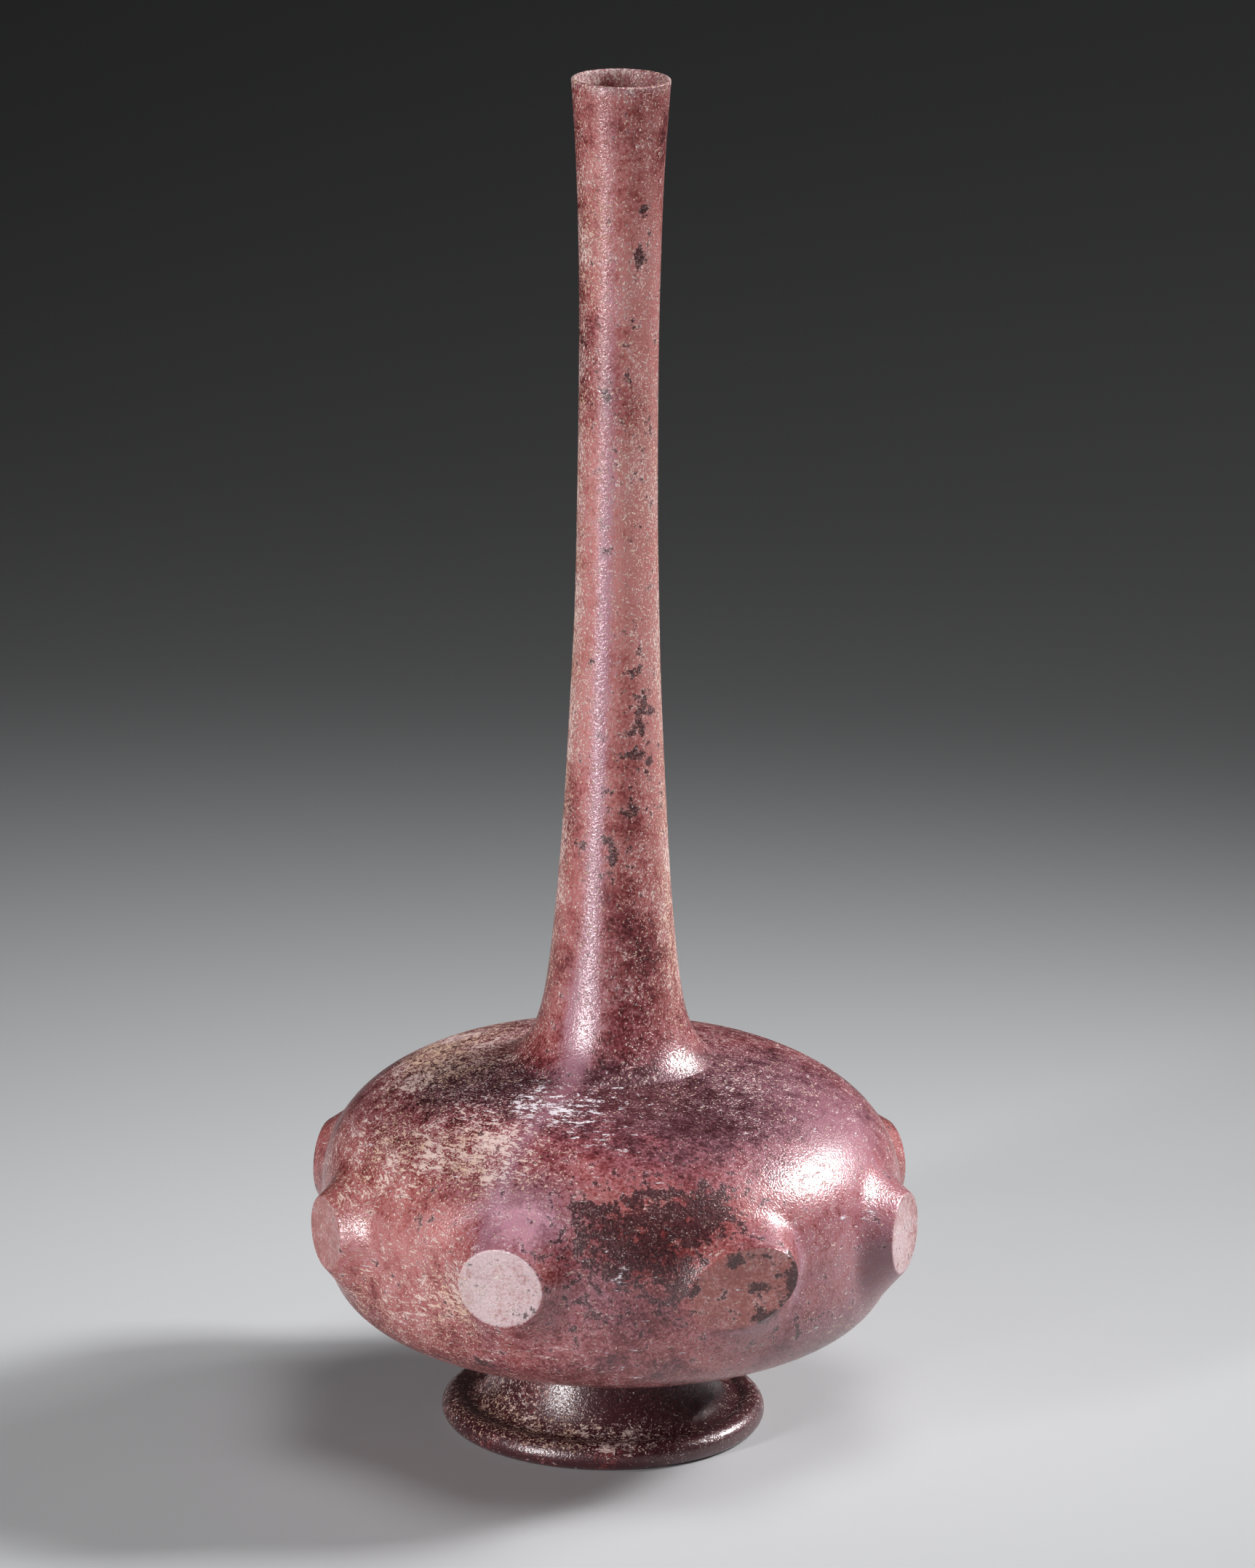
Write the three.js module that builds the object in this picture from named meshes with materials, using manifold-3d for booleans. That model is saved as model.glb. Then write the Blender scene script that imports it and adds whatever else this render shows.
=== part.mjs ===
// Glass sprinkler flask: a squat blown body with eight hollow bosses pulled out around its middle,
// a tall tapering neck and a splayed foot with a rolled edge. Millimetres, +Z up. The origin is on
// the axis of the body, on the surface the foot stands on, and the front of the flask faces -Y.
import * as THREE from "three";
import Module from "manifold-3d";
import { mergeVertices } from "three/addons/utils/BufferGeometryUtils.js";

const wasm = await Module();
wasm.setup();

// Heights, each stacked on the one before it
const FOOT_HEIGHT = 17.9;
const BELLY_DEPTH = 26.2;
const SHOULDER_RISE = 28.6;
const NECK_LENGTH = 187.3;

// Body: a superellipse above its widest line and a flatter one below it
const BODY_RADIUS = 54.8;
const SHOULDER_FULLNESS = 2.63;
const BELLY_FULLNESS = 3.6;
const KICK_RADIUS = 14;
const KICK_DEPTH = 2.6;

// Neck: a slender core that swells towards the shoulder and a little towards the mouth
const NECK_CORE_RADIUS = 5.5;
const NECK_SWELL = 8.75;
const NECK_SWELL_LENGTH = 65;
const ROOT_FLARE = 4.4;
const ROOT_FLARE_LENGTH = 8.8;
const MOUTH_FLARE = 3.2;
const MOUTH_FLARE_LENGTH = 38;
const NECK_LEAN = -0.46;
const ROOT_BLEND = 8;

// Glass thickness
const MOUTH_WALL = 0.9;
const NECK_WALL = 1.4;
const BODY_WALL = 1.6;
const BASE_WALL = 2.6;
const MOUTH_THINNING_LENGTH = 12;
const BASE_THICKENING_HEIGHT = 14;

// Bosses: drawn out of the hot wall and pressed flat, so each is a disc on a flared collar
const BOSS_COUNT = 8;
const FIRST_BOSS_ANGLE = 24.9;
const BOSS_RISE = 0.5;
const BOSS_ROW_TILT = 0.6;
const BOSS_ROW_HIGH_SIDE = 20;
const BOSS_FACE_RADIUS = 7.6;
const BOSS_HEIGHT = 4.1;
const BOSS_FLARE = 5.2;
const BOSS_FLARE_HOLLOW = 1.35;
const BOSS_ROOT_DEPTH = 2;
const BOSS_WALL = 1.2;
const DRAWN_BOSS = 0;
const DRAWN_BOSS_STRETCH = 1.4;
const DRAWN_BOSS_TURN = 25;

// Foot: a splayed cone that ends in a thick roll, flattened where it stands
const FOOT_RADIUS = 30.8;
const FOOT_ROLL_RADIUS = 2.7;
const FOOT_STEM_RADIUS = 18;
const FOOT_WALL = 3;
const FOOT_SPLAY = 2.4;
const RESTING_WIDTH = 2.6;
const FOOT_OFFSET = -0.95;
const FOOT_WELD = 1;

// Facets
const TURNS = 36;
const BOSS_TURNS = 16;
const KICK_STEPS = 2;
const BELLY_STEPS = 7;
const SHOULDER_STEPS = 10;
const NECK_STEPS = 11;
const LIP_STEPS = 4;
const FOOT_STEPS = 4;
const ROLL_STEPS = 6;
const FLARE_STEPS = 3;

const EQUATOR_Z = FOOT_HEIGHT + BELLY_DEPTH;
const BODY_TOP_Z = EQUATOR_Z + SHOULDER_RISE;
const RIM_Z = BODY_TOP_Z + NECK_LENGTH;

const glass = new THREE.MeshStandardMaterial({
  name: "manganese purple glass",
  color: 0x8a4b52,
  roughness: 0.22,
  metalness: 0,
});

function range(count, make) {
  return Array.from({ length: count + 1 }, (_, i) => make(i / count));
}

// Closed solid of a three.js geometry, with its shared corners merged and no empty triangle kept
function solidOf(geometry) {
  geometry.deleteAttribute("normal");
  geometry.deleteAttribute("uv");
  const merged = mergeVertices(geometry, 1e-4);
  const corners = [];
  const index = merged.index.array;
  for (let i = 0; i < index.length; i += 3) {
    const [a, b, c] = index.slice(i, i + 3);
    if (a !== b && b !== c && c !== a) corners.push(a, b, c);
  }
  const mesh = new wasm.Mesh({
    numProp: 3,
    vertProperties: new Float32Array(merged.attributes.position.array),
    triVerts: new Uint32Array(corners),
  });
  return new wasm.Manifold(mesh);
}

// Body of revolution about Z from points of [radius, height], listed from the bottom upwards
function turned(profile, turns) {
  const points = profile.map(([radius, height]) => new THREE.Vector2(radius, height));
  const geometry = new THREE.LatheGeometry(points, turns);
  geometry.rotateX(Math.PI / 2);
  return geometry;
}

// Radius of the body alone at a height, zero above its top and below its base
function bodyRadius(z) {
  const above = z > EQUATOR_Z;
  const reach = above ? SHOULDER_RISE : BELLY_DEPTH;
  const fullness = above ? SHOULDER_FULLNESS : BELLY_FULLNESS;
  const share = Math.max(0, 1 - (Math.abs(z - EQUATOR_Z) / reach) ** fullness);
  return BODY_RADIUS * share ** (1 / fullness);
}

// Radius of the neck at a height, carried on below the top of the body by one flare length
function neckRadius(z) {
  const up = Math.max(z - BODY_TOP_Z, -ROOT_FLARE_LENGTH);
  const down = RIM_Z - z;
  const swell = NECK_SWELL * Math.exp(-up / NECK_SWELL_LENGTH);
  const root = ROOT_FLARE * Math.exp(-up / ROOT_FLARE_LENGTH);
  const mouth = MOUTH_FLARE * Math.exp(-down / MOUTH_FLARE_LENGTH);
  return NECK_CORE_RADIUS + swell + root + mouth;
}

// Radius of the whole vessel above the widest line, with neck and body melted into each other
function upperRadius(z) {
  return (bodyRadius(z) ** ROOT_BLEND + neckRadius(z) ** ROOT_BLEND) ** (1 / ROOT_BLEND);
}

// Underside: pushed up in the middle, then flat out to where the belly starts to turn up
function kickPoint(t) {
  const radius = KICK_RADIUS * t;
  return [radius, FOOT_HEIGHT + KICK_DEPTH * (1 - t * t) ** 2];
}

function bellyPoint(t) {
  const angle = (Math.PI / 2) * t;
  const height = EQUATOR_Z - BELLY_DEPTH * Math.cos(angle) ** (2 / BELLY_FULLNESS);
  return [BODY_RADIUS * Math.sin(angle) ** (2 / BELLY_FULLNESS), height];
}

function shoulderPoint(t) {
  const z = EQUATOR_Z + SHOULDER_RISE * Math.sin((Math.PI / 2) * t) ** (2 / SHOULDER_FULLNESS);
  return [upperRadius(z), z];
}

// Steps grow upwards, because the neck curves most at its root
function neckPoint(t) {
  const z = BODY_TOP_Z + (NECK_LENGTH - MOUTH_WALL / 2) * t ** 2;
  return [upperRadius(z), z];
}

function outerCurve() {
  const belly = range(BELLY_STEPS, bellyPoint).filter(([radius]) => radius > KICK_RADIUS);
  return [
    ...range(KICK_STEPS, kickPoint),
    ...belly,
    ...range(SHOULDER_STEPS, shoulderPoint).slice(1),
    ...range(NECK_STEPS, neckPoint).slice(1),
  ];
}

function smooth(t) {
  const share = Math.min(Math.max(t, 0), 1);
  return share * share * (3 - 2 * share);
}

// Thickness of the glass at a height of the outer surface
function wallAt(z) {
  const base = BODY_WALL + (BASE_WALL - BODY_WALL) * (1 - smooth((z - FOOT_HEIGHT) / BASE_THICKENING_HEIGHT));
  const body = base + (NECK_WALL - base) * smooth((z - EQUATOR_Z) / SHOULDER_RISE);
  return body + (MOUTH_WALL - body) * smooth((z - RIM_Z + MOUTH_THINNING_LENGTH) / MOUTH_THINNING_LENGTH);
}

// The outer curve moved inwards, square to itself, by the thickness of the glass
function innerCurve(outer) {
  return outer.map(([radius, z], i) => {
    const before = outer[Math.max(i - 1, 0)];
    const after = outer[Math.min(i + 1, outer.length - 1)];
    const along = new THREE.Vector2(after[0] - before[0], after[1] - before[1]).normalize();
    const wall = wallAt(z);
    return i === 0 ? [0, z + wall] : [radius - along.y * wall, z + along.x * wall];
  });
}

// The flask leans a little towards -X from its widest line upwards
function leaned(geometry) {
  const position = geometry.attributes.position;
  const slope = Math.tan(THREE.MathUtils.degToRad(NECK_LEAN));
  for (let i = 0; i < position.count; i += 1) {
    const up = Math.max(position.getZ(i) - EQUATOR_Z, 0);
    position.setX(i, position.getX(i) + slope * up);
  }
  return geometry;
}

// Vessel filled to its rim, with the lip rounded over to the inside
function vesselForm(outer) {
  const [radius, z] = outer.at(-1);
  const lip = MOUTH_WALL / 2;
  const arc = range(LIP_STEPS, (t) => [
    radius - lip + lip * Math.cos(Math.PI * t),
    z + lip * Math.sin(Math.PI * t),
  ]);
  return leaned(turned([...outer, ...arc.slice(1), [0, z]], TURNS));
}

// Space inside the vessel, carried on above the rim
function vesselHollow(outer) {
  const inner = innerCurve(outer).slice(0, -1);
  const [radius, z] = outer.at(-1);
  const mouth = radius - MOUTH_WALL;
  return leaned(turned([...inner, [mouth, z], [mouth, z + MOUTH_WALL], [0, z + MOUTH_WALL]], TURNS));
}

// Boss about Z: its root lies below zero, and a hollow-sided flare comes in to a flat face
function bossProfile(faceRadius, height, depth) {
  const flare = range(FLARE_STEPS, (t) => [
    faceRadius + BOSS_FLARE * (1 - t),
    (height + depth) * t ** BOSS_FLARE_HOLLOW - depth,
  ]);
  return [[0, -depth], ...flare, [0, height]];
}

// Height of a boss at an angle from the front: the row runs close to the widest line, a little askew
function bossZ(angle) {
  const turn = THREE.MathUtils.degToRad(angle - BOSS_ROW_HIGH_SIDE);
  const tilt = Math.tan(THREE.MathUtils.degToRad(BOSS_ROW_TILT));
  return EQUATOR_Z + BOSS_RISE + BODY_RADIUS * tilt * Math.cos(turn);
}

// Stands a boss square on the body at its own angle from the front. Its face stays flat, and its
// flare drops with the curve of the body under it.
function placedBoss(number, faceRadius, height, depth) {
  const angle = FIRST_BOSS_ANGLE + (360 / BOSS_COUNT) * number;
  const geometry = turned(bossProfile(faceRadius, height, depth), BOSS_TURNS);
  const position = geometry.attributes.position;
  const settled = Array.from({ length: position.count }, (_, i) => {
    const beyondFace = Math.hypot(position.getX(i), position.getY(i)) - faceRadius;
    return smooth(beyondFace / BOSS_FLARE);
  });
  if (number === DRAWN_BOSS) {
    geometry.scale(1, DRAWN_BOSS_STRETCH, 1);
    geometry.rotateZ(THREE.MathUtils.degToRad(DRAWN_BOSS_TURN));
  }
  geometry.rotateY(Math.PI / 2);
  geometry.translate(BODY_RADIUS, 0, bossZ(angle));
  settled.forEach((share, i) => {
    const chord = Math.max(bodyRadius(position.getZ(i)) ** 2 - position.getY(i) ** 2, 0);
    position.setX(i, position.getX(i) - share * (BODY_RADIUS - Math.sqrt(chord)));
  });
  geometry.rotateZ(THREE.MathUtils.degToRad(angle - 90));
  return leaned(geometry);
}

function bossForm(number) {
  return placedBoss(number, BOSS_FACE_RADIUS, BOSS_HEIGHT, BOSS_ROOT_DEPTH);
}

// Smaller than the boss by its wall all round, and deep enough to open into the vessel
function bossHollow(number) {
  const depth = BOSS_ROOT_DEPTH + BODY_WALL;
  return placedBoss(number, BOSS_FACE_RADIUS - BOSS_WALL, BOSS_HEIGHT - BOSS_WALL, depth);
}

// Foot as a ring: up the splayed outside, over the roll, along the resting face and back up inside
function footForm() {
  const rollCentre = FOOT_RADIUS - FOOT_ROLL_RADIUS;
  const half = RESTING_WIDTH / 2;
  const rollZ = Math.sqrt(FOOT_ROLL_RADIUS ** 2 - half ** 2);
  const topZ = FOOT_HEIGHT + FOOT_WELD;
  const flat = Math.asin(rollZ / FOOT_ROLL_RADIUS);
  const shoulder = THREE.MathUtils.degToRad(135);
  const roll = range(ROLL_STEPS, (t) => {
    const angle = -flat + (shoulder + flat) * t;
    return [rollCentre + FOOT_ROLL_RADIUS * Math.cos(angle), rollZ + FOOT_ROLL_RADIUS * Math.sin(angle)];
  });
  const splay = (from, to, low) =>
    range(FOOT_STEPS, (t) => [from + (to - from) * t, low + (topZ - low) * t ** FOOT_SPLAY]);
  const [edgeRadius, edgeZ] = roll.at(-1);
  const outside = splay(edgeRadius, FOOT_STEM_RADIUS, edgeZ).slice(1);
  const inside = splay(rollCentre - FOOT_ROLL_RADIUS, FOOT_STEM_RADIUS - FOOT_WALL, rollZ).reverse();
  const resting = [rollCentre - half, 0];
  const ring = turned([...roll, ...outside, ...inside, resting, roll[0]], TURNS);
  ring.translate(FOOT_OFFSET, 0, 0);
  return ring;
}

function flaskGeometry() {
  const outer = outerCurve();
  let body = solidOf(vesselForm(outer)).add(solidOf(footForm()));
  let hollow = solidOf(vesselHollow(outer));
  for (let number = 0; number < BOSS_COUNT; number += 1) {
    body = body.add(solidOf(bossForm(number)));
    hollow = hollow.add(solidOf(bossHollow(number)));
  }
  const { numProp, vertProperties, triVerts } = body.subtract(hollow).getMesh();
  const geometry = new THREE.BufferGeometry();
  const vertices = new THREE.InterleavedBuffer(vertProperties, numProp);
  geometry.setAttribute("position", new THREE.InterleavedBufferAttribute(vertices, 3, 0));
  geometry.setIndex(new THREE.BufferAttribute(triVerts, 1));
  geometry.computeVertexNormals();
  return geometry;
}

const flask = new THREE.Mesh(flaskGeometry(), glass);
flask.name = "flask";

const object = new THREE.Group();
object.add(flask);

export default object;
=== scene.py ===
"""The glass sprinkler flask, dressed for its picture: blown manganese purple glass, long buried.

Sizes are in millimetres and turned to metres where a mesh is made. The foot stands on z 0, the axis of the
body is the Z axis and the front faces -Y. A bearing is an angle round that axis, 0 at the front and 90 at +X.
"""

import math

import bpy
import numpy as np
from mathutils import Matrix, Vector


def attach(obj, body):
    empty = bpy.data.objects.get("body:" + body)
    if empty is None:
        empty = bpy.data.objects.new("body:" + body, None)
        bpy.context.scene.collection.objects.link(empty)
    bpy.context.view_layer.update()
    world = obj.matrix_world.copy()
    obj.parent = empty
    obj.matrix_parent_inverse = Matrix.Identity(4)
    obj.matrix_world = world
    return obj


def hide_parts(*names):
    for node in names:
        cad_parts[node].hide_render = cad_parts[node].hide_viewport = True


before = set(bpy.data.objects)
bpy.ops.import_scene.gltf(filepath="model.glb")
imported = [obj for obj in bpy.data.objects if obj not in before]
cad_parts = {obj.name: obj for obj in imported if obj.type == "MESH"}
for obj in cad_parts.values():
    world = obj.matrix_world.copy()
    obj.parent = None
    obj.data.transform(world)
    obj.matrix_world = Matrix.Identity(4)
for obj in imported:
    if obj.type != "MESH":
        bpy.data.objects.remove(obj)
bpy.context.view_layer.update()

MM = 0.001

# Heights of the flask, from the table up
FOOT_HEIGHT = 17.9
BELLY_DEPTH = 26.2
SHOULDER_RISE = 28.6
NECK_LENGTH = 187.3
EQUATOR_Z = FOOT_HEIGHT + BELLY_DEPTH
BODY_TOP_Z = EQUATOR_Z + SHOULDER_RISE
RIM_Z = BODY_TOP_Z + NECK_LENGTH

# Body: a flattened bubble, fuller below its widest line than above it
BODY_RADIUS = 54.8
SHOULDER_FULLNESS = 2.63
BELLY_FULLNESS = 3.6
KICK_RADIUS = 14.0
KICK_DEPTH = 2.6

# Neck: drawn out of the body, widest at its root and flared a little at the mouth
NECK_CORE_RADIUS = 5.5
NECK_SWELL = 8.75
NECK_SWELL_LENGTH = 65.0
ROOT_FLARE = 5.0
ROOT_FLARE_LENGTH = 4.5
MOUTH_FLARE = 3.2
MOUTH_FLARE_LENGTH = 38.0
NECK_LEAN = math.radians(-0.46)
ROOT_BLEND = 5.5

# Glass: thin at the mouth, thickest in the base
MOUTH_WALL = 0.9
NECK_WALL = 1.4
BODY_WALL = 1.6
BASE_WALL = 2.6
MOUTH_THINNING_LENGTH = 12.0

# Bosses: pulled out of the hot wall and pressed flat
BOSS_COUNT = 8
FIRST_BOSS_BEARING = math.radians(24.9)
BOSS_RISE = 0.5
ROW_TILT = math.radians(0.6)
ROW_HIGH_SIDE = math.radians(20.0)
BOSS_FACE_RADIUS = 7.6
BOSS_HEIGHT = 4.1
BOSS_WALL = 1.2
FLARE_ABOVE = 4.6
FLARE_BESIDE = 5.4
FLARE_BELOW = 7.6
FLARE_HOLLOW = 1.6
RIM_ROUNDING = 0.3
FACE_DISH = 0.22

# Foot: a splayed cone with a thick roll, put on a little off the axis
FOOT_RADIUS = 30.8
ROLL_RADIUS = 2.7
STEM_RADIUS = 18.0
FOOT_WALL = 3.0
FOOT_SPLAY = 2.4
RESTING_WIDTH = 2.6
FOOT_OFFSET = -0.95
FOOT_WELD = 1.0
WELD_RADIUS = 21.0
WELD_CORNER = (18.2, 18.05)

# Grid of the glass: rings run round the flask, and lines run down it. Each boss sits in a square block
BLOCK = 16.0
CROWDED_FROM = 7.2
CROWDED_TO = 9.1
GAP_STEPS = 4
NECK_RINGS = 150
NECK_CROWDING = 1.3
SHOULDER_RINGS = 42
SHOULDER_START = 0.985
BELLY_RINGS = 24
BELLY_END = 0.2
LIP_STEPS = 6
FAR = 99.0

# Unevenness of the wall that breath and a turning iron leave, in long slow waves
WOBBLE = 0.11
WAVE_COUNT = 9
LONGEST_WAVE = 150.0
SHORTEST_WAVE = 60.0
WAVE_SEED = 26

# How far down the inside of the mouth the weathered skin reaches
MOUTH_CRUST = 14.0

# Radius of the ring that the streaks of the shoulder are squeezed onto
STREAK_RADIUS = 16.0

# How large the features of each pattern of the weathering are
CLOUD_SIZE = 9.0
MOTTLE_SIZE = 2.6
GRAIN_SIZE = 0.6
BRANCH_SIZE = 2.6
CLUSTER_SIZE = 0.9
CRUMB_SIZE = 0.4
ICING_SIZE = 1.2
RELIEF_HEIGHT = 0.12

# Refraction of soda lime glass, and of the wet-looking glass over the film
GLASS_IOR = 1.52
COAT_IOR = 1.65


def smooth(t):
    """A soft step from 0 to 1."""
    t = np.clip(t, 0.0, 1.0)
    return t * t * (3.0 - 2.0 * t)


def mix(a, b, t):
    """a where t is 0 and b where it is 1."""
    return a + (b - a) * t


def wall_at(z):
    """Thickness of the glass of the neck and the mouth at height z."""
    body = mix(BODY_WALL, NECK_WALL, smooth((z - EQUATOR_Z) / SHOULDER_RISE))
    return mix(body, MOUTH_WALL, smooth((z - RIM_Z + MOUTH_THINNING_LENGTH) / MOUTH_THINNING_LENGTH))


def neck_radius(z):
    """Outer radius of the neck at height z."""
    up = np.maximum(z - BODY_TOP_Z, -ROOT_FLARE_LENGTH)
    down = RIM_Z - z
    swell = NECK_SWELL * np.exp(-up / NECK_SWELL_LENGTH)
    root = ROOT_FLARE * np.exp(-up / ROOT_FLARE_LENGTH)
    mouth = MOUTH_FLARE * np.exp(-down / MOUTH_FLARE_LENGTH)
    return NECK_CORE_RADIUS + swell + root + mouth


def belly_depth_at(radius, depth):
    """How far below the widest line a belly of that depth lies, at a distance from the axis."""
    return depth * (1.0 - (radius / BODY_RADIUS) ** BELLY_FULLNESS) ** (1.0 / BELLY_FULLNESS)


def vessel_radius(z, inside=False):
    """Radius of the body and neck at height z, on the outside or on the inside of the glass."""
    wall = BODY_WALL if inside else 0.0
    base = BASE_WALL if inside else 0.0
    up = np.clip((z - EQUATOR_Z) / (SHOULDER_RISE - wall), 0.0, 1.0)
    down = np.clip((EQUATOR_Z - z) / (BELLY_DEPTH - base), 0.0, 1.0)
    shoulder = (1.0 - up**SHOULDER_FULLNESS) ** (1.0 / SHOULDER_FULLNESS)
    belly = (1.0 - down**BELLY_FULLNESS) ** (1.0 / BELLY_FULLNESS)
    body = (BODY_RADIUS - wall) * shoulder * belly
    neck = neck_radius(z) - (wall_at(z) if inside else 0.0)
    joined = (body**ROOT_BLEND + neck**ROOT_BLEND) ** (1.0 / ROOT_BLEND)
    return np.where(z >= EQUATOR_Z, joined, body)


def row_tilt(bearing):
    """How far the row of bosses stands above the widest line, because it runs round slightly askew."""
    return BOSS_RISE + BODY_RADIUS * math.tan(ROW_TILT) * np.cos(bearing - ROW_HIGH_SIDE)


class Boss:
    """One boss: its bearing, and how far its pressed face strays from a circle and from the others."""

    def __init__(self, number, wide=1.0, tall=1.0, turn=0.0, out=0.0, lean=0.0, nod=0.0, bloom=0.0):
        self.bearing = FIRST_BOSS_BEARING + number * 2.0 * math.pi / BOSS_COUNT
        self.half_width = BOSS_FACE_RADIUS * wide
        self.half_height = BOSS_FACE_RADIUS * tall
        self.turn = math.radians(turn)
        self.out = BOSS_HEIGHT + out
        self.lean = math.tan(math.radians(lean))
        self.nod = math.tan(math.radians(nod))
        self.bloom = bloom

    def edge(self, angle):
        """Radius of the face in one direction, angle 0 pointing along the row and 90 degrees up."""
        across = np.cos(angle - self.turn) / self.half_width
        along = np.sin(angle - self.turn) / self.half_height
        return 1.0 / np.hypot(across, along)


BOSSES = [
    Boss(0, wide=1.36, tall=1.0, turn=24.0, out=-0.3, lean=13.0, nod=5.0),
    Boss(1, wide=1.0, tall=1.02, bloom=0.05),
    Boss(2, wide=0.98, tall=1.0, out=-0.1),
    Boss(3, wide=1.02, tall=0.98, turn=40.0, bloom=0.5),
    Boss(4, wide=1.0, tall=1.04, turn=-20.0, out=-0.1),
    Boss(5, wide=0.96, tall=1.0, out=-0.5),
    Boss(6, wide=0.94, tall=0.93, out=0.0, bloom=0.1),
    Boss(7, wide=1.1, tall=1.0, turn=10.0, out=-0.25, nod=3.0, bloom=0.78),
]


def boss_lines():
    """Distances of the grid's lines from the middle of a boss, crowded together at the rim of its face."""
    inside = [0.0, 1.7, 3.3, 4.8, 6.1, CROWDED_FROM, 7.42, BOSS_FACE_RADIUS]
    outside = [7.78, 8.0, 8.45, CROWDED_TO, 9.95, 10.9, 11.95, 13.1, 14.5, BLOCK]
    half = inside + outside
    return np.array([-q for q in reversed(half[1:])] + half)


def spread_over_boss(across, up, boss, inside):
    """Moves the points of a square grid so that its rings follow the rim of the face."""
    ring = np.maximum(np.abs(across), np.abs(up))
    angle = np.arctan2(up, across)
    edge = boss.edge(angle) - (BOSS_WALL if inside else 0.0)
    square = BLOCK / np.maximum(np.abs(np.cos(angle)), np.abs(np.sin(angle)))
    near = edge - (BOSS_FACE_RADIUS - ring)
    middle = (edge - (BOSS_FACE_RADIUS - CROWDED_FROM)) * ring / CROWDED_FROM
    edge_out = edge + (CROWDED_TO - BOSS_FACE_RADIUS)
    far = mix(edge_out, square, (ring - CROWDED_TO) / (BLOCK - CROWDED_TO))
    reach = np.where(ring < CROWDED_FROM, middle, np.where(ring < CROWDED_TO, near, far))
    return reach * np.cos(angle), reach * np.sin(angle)


def boss_surface(across, up, boss, inside):
    """(outward, sideways, height, distance from the rim) of points on and round a boss, in mm."""
    turned = across / BODY_RADIUS
    z = EQUATOR_Z + up + row_tilt(boss.bearing + turned)
    radius = vessel_radius(z, inside)
    outward = radius * np.cos(turned)
    sideways = radius * np.sin(turned)
    angle = np.arctan2(up, across)
    reach = np.hypot(across, up)
    edge = boss.edge(angle) - (BOSS_WALL if inside else 0.0)
    face = BODY_RADIUS + boss.out - (BOSS_WALL if inside else 0.0) + boss.lean * across + boss.nod * up
    beyond = reach - edge
    upward = np.sin(angle)
    flare = mix(FLARE_BESIDE, np.where(upward > 0, FLARE_ABOVE, FLARE_BELOW), upward**2)
    rise = face - outward
    left = 1.0 - np.clip(beyond / flare, 0.0, 1.0)
    drop = np.where(beyond > 0, rise * (1.0 - left**FLARE_HOLLOW), rise * FLARE_HOLLOW * beyond / flare)
    rounding = np.maximum(RIM_ROUNDING - np.abs(drop), 0.0) ** 2 / (4.0 * RIM_ROUNDING)
    dish = FACE_DISH * np.clip(1.0 - (reach / edge) ** 2, 0.0, 1.0)
    outward = face - np.maximum(drop, 0.0) - rounding - dish
    return outward, sideways, z, beyond


random = np.random.default_rng(WAVE_SEED)
WAVES = [
    (random.normal(size=3) * 2.0 * math.pi / length, random.uniform(0.0, 2.0 * math.pi))
    for length in np.linspace(LONGEST_WAVE, SHORTEST_WAVE, WAVE_COUNT)
]


def wobble(points):
    """Unevenness that breath and a turning iron leave in the wall, as a distance inwards."""
    total = sum(np.sin(points @ wave + start) for wave, start in WAVES)
    return WOBBLE * (total / math.sqrt(len(WAVES)) - 2.0) * 0.5


def points_at(bearing, radius, z, shift=0.0):
    """Points round the axis, with the lean of the upper flask and the unevenness of the wall."""
    points = np.stack([radius * np.sin(bearing), -radius * np.cos(bearing), z + 0.0 * radius], axis=-1)
    inward = wobble(points) * smooth(radius / 8.0) * smooth(z / 14.0) * smooth((RIM_Z - z) / 30.0)
    points[..., 0] += inward * np.sin(bearing) + shift + math.tan(NECK_LEAN) * np.maximum(z - EQUATOR_Z, 0.0)
    points[..., 1] -= inward * np.cos(bearing)
    return points


class Rings:
    """Rings of points down one side of the glass, each with how far its points lie from the rim of a boss."""

    def __init__(self, inside):
        self.inside = inside
        self.rings = []
        self.beyond = []

    def add(self, bearing, radius, z, shift=0.0, beyond=None):
        z = np.broadcast_to(z, bearing.shape)
        radius = np.broadcast_to(radius, bearing.shape)
        self.rings.append(points_at(bearing, radius, z, shift))
        self.beyond.append(np.full(len(bearing), FAR) if beyond is None else beyond)


def grid_bearings(lines):
    """Bearings of the grid's columns in the row of bosses, for lines across one boss."""
    turn = 2.0 * math.pi / BOSS_COUNT
    gap = turn - 2.0 * BLOCK / BODY_RADIUS
    steps = GAP_STEPS // 2 if len(lines) < 30 else GAP_STEPS
    in_gap = BLOCK / BODY_RADIUS + gap * np.arange(1, steps) / steps
    one = np.concatenate([lines / BODY_RADIUS, in_gap])
    return np.concatenate([boss.bearing + one for boss in BOSSES]), len(one)


def add_neck(rings, count, even):
    """The neck, from the lip down to the top of the body."""
    half = MOUTH_WALL / 2.0
    for t in np.linspace(1.0, 0.0, count):
        z = BODY_TOP_Z + (NECK_LENGTH - half) * t**NECK_CROWDING
        rings.add(even, vessel_radius(np.array(z), rings.inside), z)


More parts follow.
